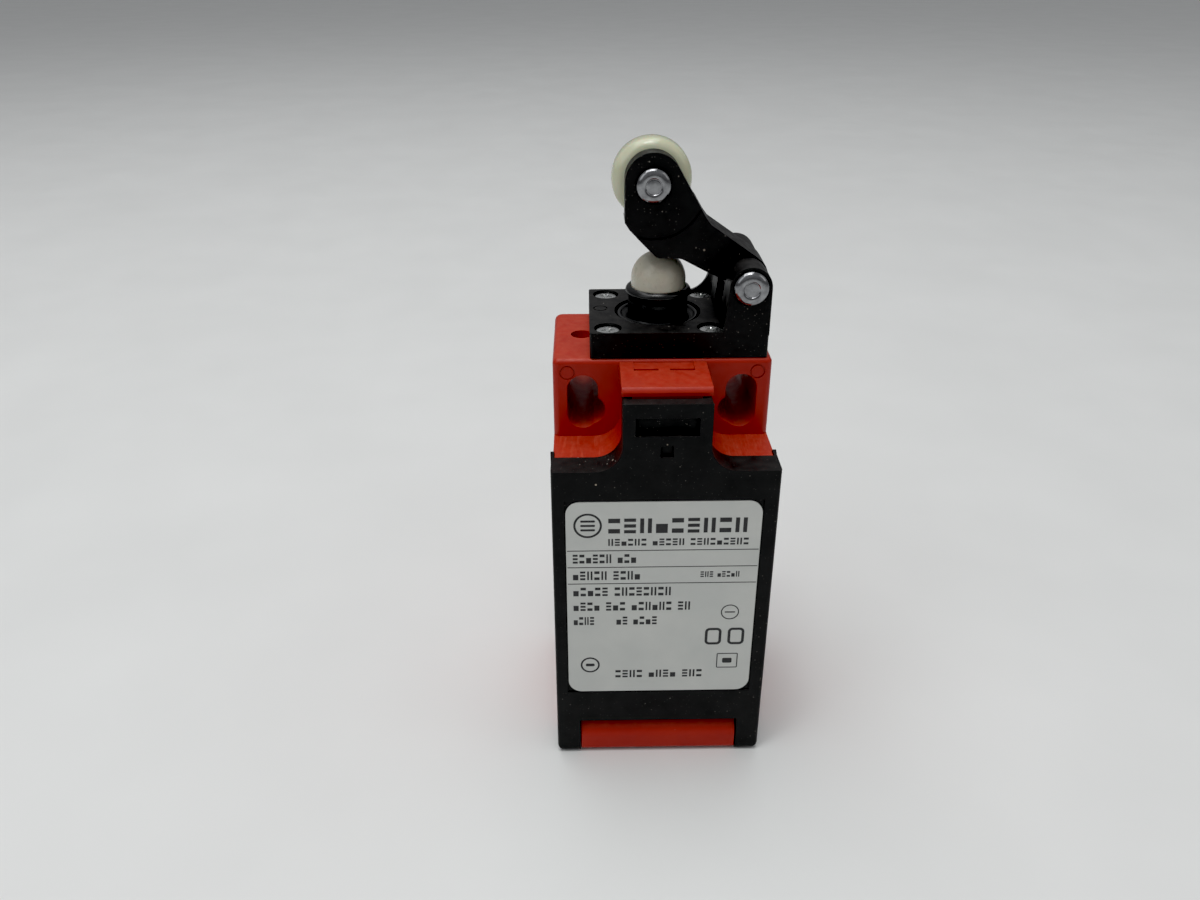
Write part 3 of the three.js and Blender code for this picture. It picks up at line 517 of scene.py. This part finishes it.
def make_housing():
    obj = copy_of("housing", "housing_shell")

    def slot_mouth(m):
        return abs(m.y - FLANGE) < 0.05 and 49.8 < m.z < 59 and 7.5 < abs(m.x) < 13.5

    round_edges(obj, (0.25, 3, slot_mouth))
    round_flange_and_top(obj)
    for side in (-1, 1):
        ring_groove(obj, side * 13.1, FLANGE, 58.75, r=0.95, width=0.20, depth=0.16, facing="front")
        for z in (6.0, 44.0):
            ring_groove(obj, side * 11.0, BODY_BACK, z, r=1.6, width=0.18, depth=0.12, facing="back")
    return ship(obj, "body", "red_plastic", RED, "housing")


# ---------------------------------------------------------------- cover, label and latch

COVER_FRONT = -15.0
COVER_HALF = 15.35
COVER_EDGE = 0.42
FOOT_BOTTOM = 0.1
FOOT_CORNER = 1.25
TONGUE_TOP = 59.1


def round_cover_sides(obj):
    """Rounds each side's front edge and the outer corner of its foot with one cut."""
    steps = [(-9.0, 0.0)]
    steps += [(COVER_FRONT + short, inset) for inset, short in rounding(COVER_EDGE)]
    steps.append((COVER_FRONT - 1, COVER_EDGE))
    for side in (-1, 1):
        rings = []
        for y, inset in steps:
            x, z = COVER_HALF - FOOT_CORNER, FOOT_BOTTOM + FOOT_CORNER
            outline = [(OUTSIDE, 70), (COVER_HALF + SLACK - inset, 70)]
            outline += bow(x, z, FOOT_CORNER + SLACK - inset, 0, -90, 7)
            outline += [(x, FOOT_BOTTOM - 1), (OUTSIDE, FOOT_BOTTOM - 1)]
            rings.append([(side * x, y, z) for x, z in outline])
        carve(obj, loft("corner", rings))


def make_cover():
    obj = copy_of("cover", "cover_shell")

    def on_front(m):
        return m.y < COVER_FRONT + 0.05 and m.z > 6.2

    def round_recess(m):
        in_pocket = abs(m.x) < 4.4 and 51 < m.z < 57.3
        round_label = -13.8 < m.x < 13.5 and 11.7 < m.z < 45.0
        return in_pocket or round_label

    def tongue_top(m):
        return -14.6 < m.y < -11 and m.z > TONGUE_TOP - 0.1

    def rear_step(m):
        return abs(m.x) > COVER_HALF - 0.05 and -12 < m.y < -8.9 and m.z > 6

    round_cover_sides(obj)
    round_edges(
        obj,
        (0.30, 4, lambda m: on_front(m) and not round_recess(m)),
        (0.10, 2, lambda m: on_front(m) and round_recess(m)),
        (0.35, 3, tongue_top),
        (0.18, 2, rear_step),
        cleaned=True,
    )
    return ship(obj, "cover", "black_plastic", BLACK, "cover")


def make_label():
    obj = copy_of("label_plate", "label")
    round_edges(obj, (0.05, 2, lambda m: m.y < -14.95))
    return ship(obj, "cover", "label_film", LABEL, "label_plate")


LABEL_FACE = -14.98
INK_FRONT = LABEL_FACE - 0.012
INK_BACK = LABEL_FACE + 0.02


class Print:
    """Flat ink shapes just proud of the label, gathered into one mesh."""

    def __init__(self):
        self.bm = bmesh.new()
        self.random = random.Random(4)

    def row(self, points, y):
        return [self.bm.verts.new(Vector((x, y, z)) * MM) for x, z in points]

    def shape(self, points):
        rings = [self.row(points, y) for y in (INK_BACK, INK_FRONT)]
        count = len(points)
        for i in range(count):
            j = (i + 1) % count
            self.bm.faces.new((rings[0][i], rings[0][j], rings[1][j], rings[1][i]))
        self.bm.faces.new(rings[1])
        self.bm.faces.new(rings[0][::-1])

    def bar(self, x0, x1, z0, z1, r=0.0):
        if r > 0:
            self.shape(rounded_rectangle(x0, x1, z0, z1, r, 4))
        else:
            self.shape([(x0, z0), (x1, z0), (x1, z1), (x0, z1)])

    def outline(self, outer, inner):
        """A frame between two outlines that have the same number of points."""
        count = len(outer)
        rows = [self.row(points, y) for points, y in (
            (outer, INK_BACK), (outer, INK_FRONT), (inner, INK_FRONT), (inner, INK_BACK))]
        for a, b in zip(rows, rows[1:] + rows[:1]):
            for i in range(count):
                j = (i + 1) % count
                self.bm.faces.new((a[i], a[j], b[j], b[i]))

    def ring(self, x, z, r, width):
        self.outline(bow(x, z, r, 0, 352.5, 47), bow(x, z, r - width, 0, 352.5, 47))

    def hollow(self, x0, x1, z0, z1, r, width):
        inner = (x0 + width, x1 - width, z0 + width, z1 - width)
        self.outline(rounded_rectangle(x0, x1, z0, z1, r), rounded_rectangle(*inner, max(r - width, 0.05)))

    def mark(self, x0, x1, z0, z1, kind):
        """One of four plain marks that stand in for a printed character."""
        wide, tall = x1 - x0, z1 - z0
        if kind == 0:
            self.bar(x0, x0 + 0.34 * wide, z0, z1)
            self.bar(x1 - 0.34 * wide, x1, z0, z1)
        elif kind == 1:
            self.bar(x0, x1, z0, z0 + 0.30 * tall)
            self.bar(x0, x1, z1 - 0.30 * tall, z1)
        elif kind == 2:
            for low in (0.0, 0.39, 0.78):
                self.bar(x0, x1, z0 + low * tall, z0 + (low + 0.22) * tall)
        else:
            self.bar(x0, x1, z0, z0 + 0.62 * tall)

    def filler(self, x0, x1, z0, z1, *groups):
        """Groups of plain marks that stand in for a line of print. groups says how many are in each."""
        space, ink_share = 0.7, 0.74
        width = (x1 - x0) / (sum(groups) + space * (len(groups) - 1))
        x = x0
        last = None
        for count in groups:
            for _ in range(count):
                kind = self.random.choice([k for k in range(4) if k != last])
                last = kind
                self.mark(x, x + ink_share * width, z0, z1, kind)
                x += width
            x += space * width

    def finished(self):
        return new_object("label_print", self.bm)


def make_print():
    p = Print()
    left, right = -13.35, 13.05         # ends of the dividing lines
    start, beside_ring = -12.6, -7.7    # where the rows of marks begin
    p.ring(-10.5, 41.0, 1.95, 0.30)
    for z in (40.3, 41.0, 41.7):
        p.bar(-11.5, -9.5, z - 0.16, z + 0.16, 0.12)
    p.filler(beside_ring, 11.8, 39.75, 42.1, 9)
    p.filler(beside_ring, 11.8, 37.75, 38.85, 6, 5, 9)
    for z in (36.95, 34.2, 31.45):
        p.bar(left, right, z - 0.06, z + 0.06)
    p.filler(start, -3.6, 34.9, 36.35, 6, 3)
    p.filler(start, -3.0, 32.1, 33.55, 5, 4)
    p.filler(5.2, 10.8, 32.4, 33.35, 3, 5)
    p.filler(start, 1.4, 29.35, 30.8, 5, 8)
    p.filler(start, 4.2, 26.8, 28.25, 4, 3, 6, 2)
    p.filler(start, -9.5, 24.3, 25.7, 4)
    p.filler(-6.5, -0.5, 24.3, 25.7, 2, 4)
    p.ring(9.7, 26.3, 1.3, 0.16)
    p.bar(8.95, 10.45, 26.2, 26.4, 0.08)
    for x in (6.3, 9.6):
        p.hollow(x, x + 2.4, 20.5, 23.5, 0.7, 0.40)
    p.hollow(8.2, 11.3, 16.2, 18.9, 0.2, 0.15)
    p.bar(9.05, 10.45, 17.1, 18.0, 0.2)
    p.ring(-10.3, 17.0, 1.4, 0.26)
    p.bar(-10.95, -9.65, 16.75, 17.25, 0.2)
    p.filler(-6.6, 6.4, 14.6, 15.95, 4, 4, 3)
    return ship(p.finished(), "cover", "label_film", INK)


def make_latch():
    obj = copy_of("cover_latch", "latch_tab")

    def lip(m):
        return m.y < -12.3 and m.z > 60.0 and abs(m.x) < 5.9

    def side_edge(m):
        return abs(m.x) > 5.9 and m.z > 59.7

    def top_slot(m):
        return abs(m.x) < 4.3 and m.z > 60.2 and m.y > -7.2

    round_edges(obj, (0.45, 4, lip), (0.20, 3, side_edge), (0.06, 2, top_slot))
    return ship(obj, "latch", "red_plastic", RED, "cover_latch")


# ---------------------------------------------------------------- head

AXIS = (-0.2, 5.6)          # the plunger's axis
PIVOT = (11.5, 70.5)        # the lever's axis, along Y
PIN_R = 1.6                 # round a pin's bore nothing is rounded
HEAD_TOP = 64.375
HEAD_FRONT = -3.55
EAR_BACK = 13.4
EAR_FACES = (HEAD_FRONT, 1.15, 7.1, EAR_BACK)
SEAL_BORE_R = 6.1


def apart(m, centre):
    """How far a point is from an axis along Y."""
    return math.hypot(m.x - centre[0], m.z - centre[1])


def make_head():
    obj = copy_of("head_block", "head_moulding")

    def on_top(m):
        return abs(m.z - HEAD_TOP) < 0.05

    def top_rim(m):
        return on_top(m) and (m.x < -9.4 or m.y < -3.0 or m.y > 14.5)

    def seal_rim(m):
        return on_top(m) and abs(math.hypot(m.x - AXIS[0], m.y - AXIS[1]) - SEAL_BORE_R) < 0.2

    def ear_edge(m):
        on_face = min(abs(m.y - y) for y in EAR_FACES) < 0.05
        return on_face and m.z > HEAD_TOP + 0.4 and apart(m, PIVOT) > PIN_R

    round_edges(obj, (0.25, 3, top_rim), (0.18, 2, seal_rim), (0.28, 3, ear_edge))
    ring_groove(obj, -8.35, 6.5, HEAD_TOP, r=0.95, width=0.18, depth=0.14, facing="top")
    return ship(obj, "body", "black_plastic", BLACK, "head_block")


def make_seal():
    bore, foot = 3.93, 63.3
    neck = [(5.2, 63.8), (4.9, 63.5), (4.6, 63.5), (4.3, 63.9), (4.25, 64.6), (4.22, 66.3)]
    bead = [(4.25, 66.75), (4.42, 67.0), (4.6, 67.3), (4.6, 67.62), (4.45, 67.9), (4.2, 68.1)]
    profile = (
        [(bore, foot), (5.85, foot), (5.85, 63.85)] + bow(5.55, 63.85, 0.3, 0, 170, 6)
        + smooth_through(neck, 4) + smooth_through(bead, 4) + [(4.02, 68.18), (bore, 68.12)]
    )
    obj = lathe("plunger_collar", profile, (*AXIS, 0), closed=True)
    return ship(obj, "body", "black_rubber", RUBBER, "plunger_seal")


def make_plunger():
    stem_r, disc_r, dome_r = 1.7, 4.7, 3.85
    foot, disc_low, disc_high, dome_centre = 50.2, 58.7, 60.4, 69.15
    turns = [math.pi / 48 * i for i in range(24)]
    profile = (
        [(0, foot), (stem_r - 0.1, foot), (stem_r, foot + 0.1), (stem_r, disc_low)]
        + [(disc_r - 0.2, disc_low), (disc_r, disc_low + 0.2)]
        + [(disc_r, disc_high - 0.2), (disc_r - 0.2, disc_high), (dome_r, disc_high)]
        + [(dome_r * math.cos(a), dome_centre + dome_r * math.sin(a)) for a in turns]
        + [(0, dome_centre + dome_r)]
    )
    obj = lathe("plunger_pin", profile, (*AXIS, 0))
    return ship(obj, "plunger", "nylon", DOME, "plunger")


def cross_recess(top, reach, width, depth):
    """The tapered cross of a driver, pointing down from top."""
    arms = []
    for turn in (0, 1):
        rings = []
        for z, long, wide in ((top + 0.3, reach, width), (top - depth, reach * 0.55, width * 0.6)):
            corners = [(-long, -wide), (long, -wide), (long, wide), (-long, wide)]
            rings.append([(y, x, z) if turn else (x, y, z) for x, y in corners])
        arms.append(loft("arm", rings))
    return carve(arms[0], arms[1], operation="UNION")


def make_screw(name, node, place, head_r, height, shank_r, length, recess, turn, tilt=0):
    """A pan head screw along +Z, turned about Z, tilted about X and set down at place."""
    dome = [(1.0, 0.08 / height), (1.0, 0.62), (0.95, 0.87), (0.82, 0.98), (0.4, 1.0), (0, 1.0)]
    profile = (
        [(0, -length), (shank_r * 0.7, -length), (shank_r, -length + 0.3), (shank_r, 0), (head_r * 0.96, 0)]
        + smooth_through([(head_r * r, height * h) for r, h in dome], 4)
    )
    obj = lathe(name, profile, (0, 0, 0), sides=48)
    carve(obj, cross_recess(height, head_r * 0.64, head_r * 0.12, recess))
    nick = cross_recess(height + 0.02, head_r * 0.60, head_r * 0.05, 0.16)
    nick.data.transform(Matrix.Rotation(math.radians(45), 4, "Z"))
    carve(obj, nick)
    seat = Matrix.Translation(Vector(place) * MM)
    lean = Matrix.Rotation(math.radians(tilt), 4, "X") @ Matrix.Rotation(math.radians(turn), 4, "Z")
    obj.data.transform(seat @ lean)
    return ship(obj, "body", "zinc_steel", ZINC, node)


def make_head_screws():
    x, y, seat, half_spacing = -0.4, 5.55, 62.95, 7.05
    turns = (12, 38, 71, 24)
    corners = [(i, j) for j in (-1, 1) for i in (-1, 1)]
    for number, ((i, j), turn) in enumerate(zip(corners, turns), 1):
        place = (x + half_spacing * i, y + half_spacing * j, seat)
        make_screw(f"head_fixing_{number}", f"head_screw_{number}", place, head_r=1.75, height=1.15,
                   shank_r=1.1, length=6.4, recess=0.7, turn=turn)


# ---------------------------------------------------------------- lever, roller and pins

ROLLER = (-1.4, 82.9)       # the roller's axis, along Y
RIVET_TAIL_R = 1.95


def make_rivet(name, node, body, axis, seat, tail):
    """A dished rivet along Y: formed head in front of seat, small tail behind."""
    x, z = axis
    front = seat - 0.78
    head_r, shank_r, tail_r = 2.38, 1.2, RIVET_TAIL_R
    face = [(0.5, 0.12), (0.85, 0.15), (1.02, 0.17), (1.16, 0.05), (1.42, 0.0), (1.76, 0.06), (2.05, 0.2),
            (2.26, 0.41), (head_r, 0.68)]
    end = [(tail_r, 0.25), (tail_r - 0.12, 0.5), (tail_r - 0.5, 0.68), (0.6, 0.7)]
    profile = (
        [(0, front + 0.12)]
        + smooth_through([(r, front + h) for r, h in face], 5)
        + [(head_r, seat), (shank_r, seat), (shank_r, tail), (tail_r, tail)]
        + smooth_through([(r, tail + h) for r, h in end], 4)
        + [(0, tail + 0.7)]
    )
    obj = lathe(name, profile, (x, 0, z), "Y", 80)
    return ship(obj, body, "zinc_steel", RIVET_ZINC_PAINTED_SHADE, node)


def make_lever():
    obj = copy_of("lever", "lever_arm")
    plate_front, plate_back, arm_back = 0.5, 1.55, 4.2
    swept_r, clearance_r = 7.2, 6.2
    swept = [(0, plate_front), (swept_r, plate_front), (swept_r, plate_back), (0, plate_back)]
    carve(obj, lathe("disc", swept, (ROLLER[0], 0, ROLLER[1]), "Y", 96))

    def off_pins(m):
        return min(apart(m, ROLLER), apart(m, PIVOT)) >= PIN_R

    def front_edge(m):
        return m.y < plate_back + 0.15 and off_pins(m) and abs(apart(m, ROLLER) - swept_r) > 0.2

    def back_edge(m):
        return m.y > arm_back and off_pins(m) and abs(apart(m, ROLLER) - clearance_r) >= 0.25

    round_edges(obj, (0.40, 4, front_edge), (0.30, 3, back_edge))
    return ship(obj, "lever", "black_plastic", BLACK, "lever")


def make_roller():
    front, back = 4.45, 9.25
    r, bore_r, edge = 5.45, 1.32, 1.6
    profile = (
        [(bore_r, front + 0.06), (bore_r + 0.13, front)]
        + bow(r - edge, front + edge, edge, -90, -8, 9)
        + [(r, (front + back) / 2)]
        + bow(r - edge, back - edge, edge, 8, 90, 9)
        + [(bore_r + 0.13, back), (bore_r, back - 0.06)]
    )
    obj = lathe("roller_wheel", profile, (ROLLER[0], 0, ROLLER[1]), "Y", 128, closed=True)
    return ship(obj, "roller", "roller_plastic", IVORY, "roller")


def make_pins():
    make_rivet("pivot_rivet", "lever_pin", "body", PIVOT, HEAD_FRONT - 0.02, EAR_BACK + 0.02)
    make_rivet("roller_rivet", "roller_pin", "lever", ROLLER, 1.52, 9.33)


# ---------------------------------------------------------------- inside the housing

def dress(finish, soften, *nodes):
    """Keeps CAD nodes and gives them softened edges and a material."""
    for node in nodes:
        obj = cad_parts[node]
        for slot in obj.material_slots:
            slot.material = finish
        weld = obj.modifiers.new("weld", "WELD")
        weld.merge_threshold = WELD
        bevel = obj.modifiers.new("soften", "BEVEL")
        bevel.width = soften * MM
        bevel.segments = 2
        bevel.limit_method = "ANGLE"
        bevel.angle_limit = math.radians(40)


def make_spring(name, node, radius, wire, low, high, body, keep=None):
    """A round wire coil along the plunger's axis. When keep is given, the coil's mesh is made its own; its
    value is not otherwise used.
    """
    coils, steps_per_coil, sides = 4.5, 28, 10
    steps = int(coils * steps_per_coil)
    up = Vector((0, 0, 1))
    rings = []
    for i in range(steps + 1):
        t = i / steps
        a = coils * math.tau * t
        z = low + wire / 2 + (high - low - wire) * t
        centre = Vector((AXIS[0] + radius * math.cos(a), AXIS[1] + radius * math.sin(a), z))
        out = Vector((math.cos(a), math.sin(a), 0))
        rings.append([centre + (out * math.cos(b) + up * math.sin(b)) * wire / 2
                      for b in (math.tau * k / sides for k in range(sides))])
    obj = ship(loft(name, rings), body, "spring_steel", WIRE, node)
    if keep:
        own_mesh(obj)


def make_inside():
    terminals = [f"{kind}_terminal_{side}" for kind in ("nc", "no") for side in ("left", "right")]
    dress(GREY, 0.15, "contact_base")
    dress(CARRIER, 0.1, "contact_carrier")
    dress(BRASS, 0.08, *terminals)
    dress(SILVER, 0.08, "nc_bridge", "no_bridge")
    dress(RUBBER, 0.15, "cover_gasket")
    dress(RUBBER, 0.1, "head_gasket")
    dress(ZINC, 0.08, *(f"clamp_washer_{number}" for number in range(1, 5)))
    screws = ((-7.6, 41.0, 8), (7.6, 41.0, 52), (-7.6, 27.6, 33), (7.6, 27.6, 67))
    for number, (x, z, turn) in enumerate(screws, 1):
        make_screw(f"clamp_screw_{number}", f"terminal_screw_{number}", (x, -1.3, z), head_r=2.3,
                   height=1.5, shank_r=1.4, length=3.2, recess=0.9, turn=turn, tilt=90)
    make_spring("bridge_spring_upper", "nc_bridge_spring", 1.15, 0.35, 38.25, 42.55, "plunger")
    make_spring("bridge_spring_lower", "no_bridge_spring", 1.15, 0.35, 29.75, 34.05, "plunger")
    make_spring("return_spring", "plunger_spring", 2.9, 0.65, 51.03, 58.67, "body", keep=0.51)
    make_spring("carrier_return_spring", "carrier_spring", 1.7, 0.45, 18.03, 25.47, "body", keep=0.50)


# ---------------------------------------------------------------- room

def make_stage():
    f = Finish("table", (0.735, 0.745, 0.735), 0.55)
    f.tint(f.ramp(f.noise(40, 3), 0.35, 0.7), (0.76, 0.77, 0.76))
    f.vary_roughness(f.noise(15, 3), 0.5, 0.62)
    half = 4000
    floor = block("floor", -half, half, -half, half, -10, -0.01)
    floor.data.materials.append(f.done())


def soft_light(name, place, height, size, watts, colour=(1, 1, 1)):
    """An area light, with lengths in metres, that points at a height on the object's middle line."""
    data = bpy.data.lights.new(name, "AREA")
    data.shape = "RECTANGLE"
    data.size, data.size_y = size
    data.energy = watts
    data.color = colour
    lamp = bpy.data.objects.new(name, data)
    bpy.context.scene.collection.objects.link(lamp)
    lamp.location = place
    lamp.rotation_euler = (Vector((0, 0, height)) - Vector(place)).to_track_quat("-Z", "Y").to_euler()


def make_lights():
    world = bpy.data.worlds.new("soft room")
    world.use_nodes = True
    nodes, links = world.node_tree.nodes, world.node_tree.links
    background = nodes["Background"]
    coords = nodes.new("ShaderNodeTexCoord")
    split = nodes.new("ShaderNodeSeparateXYZ")
    ramp = nodes.new("ShaderNodeValToRGB")
    links.new(coords.outputs["Generated"], split.inputs[0])
    links.new(split.outputs[2], ramp.inputs[0])
    level, overhead = ramp.color_ramp.elements
    level.color = (0.34, 0.34, 0.345, 1)
    overhead.position = 0.7
    overhead.color = (0.80, 0.81, 0.83, 1)
    links.new(ramp.outputs[0], background.inputs[0])
    background.inputs[1].default_value = 0.44
    bpy.context.scene.world = world
    soft_light("ceiling", (-0.12, 0.02, 0.80), 0.04, (0.9, 0.6), watts=3.6)
    for x in (-0.12, 0.0):
        soft_light("tube", (x, -0.12, 0.82), 0.05, (0.07, 0.16), watts=0.42)
    soft_light("window", (-0.70, -0.45, 0.55), 0.04, (0.5, 0.6), watts=0.65, colour=(0.96, 0.98, 1.0))
    soft_light("right", (0.70, -0.25, 0.50), 0.05, (0.4, 0.5), watts=0.3, colour=(1.0, 0.98, 0.96))


def make_camera():
    """The camera of the photograph, as fitted to the object's edges."""
    yaw, pitch, roll = (math.radians(v) for v in (0.92, 27.7, -0.14))
    place = (-10.64, -130.08, 113.05)
    forward = Vector((math.sin(yaw) * math.cos(pitch), math.cos(yaw) * math.cos(pitch), -math.sin(pitch)))
    level = Vector((math.cos(yaw), -math.sin(yaw), 0))
    upright = level.cross(forward)
    right = level * math.cos(roll) + upright * math.sin(roll)
    up = upright * math.cos(roll) - level * math.sin(roll)
    data = bpy.data.cameras.new("camera")
    data.sensor_width = 36
    data.lens = 29.954
    data.clip_start = 0.005
    camera = bpy.data.objects.new("camera", data)
    bpy.context.scene.collection.objects.link(camera)
    turn = Matrix((right, up, -forward)).transposed().to_4x4()
    camera.matrix_world = Matrix.Translation(Vector(place) * MM) @ turn
    bpy.context.scene.camera = camera


# ---------------------------------------------------------------- all together

make_camera()
make_lights()
make_stage()
make_housing()
make_cover()
make_label()
make_print()
make_latch()
make_head()
make_seal()
make_plunger()
make_head_screws()
make_lever()
make_roller()
make_pins()
make_inside()

# Like the photograph's camera, the picture loses the darkest shades.
view = bpy.context.scene.view_settings
view.view_transform = "Standard"
view.use_curve_mapping = True
view.curve_mapping.black_level = (0.009, 0.009, 0.009)
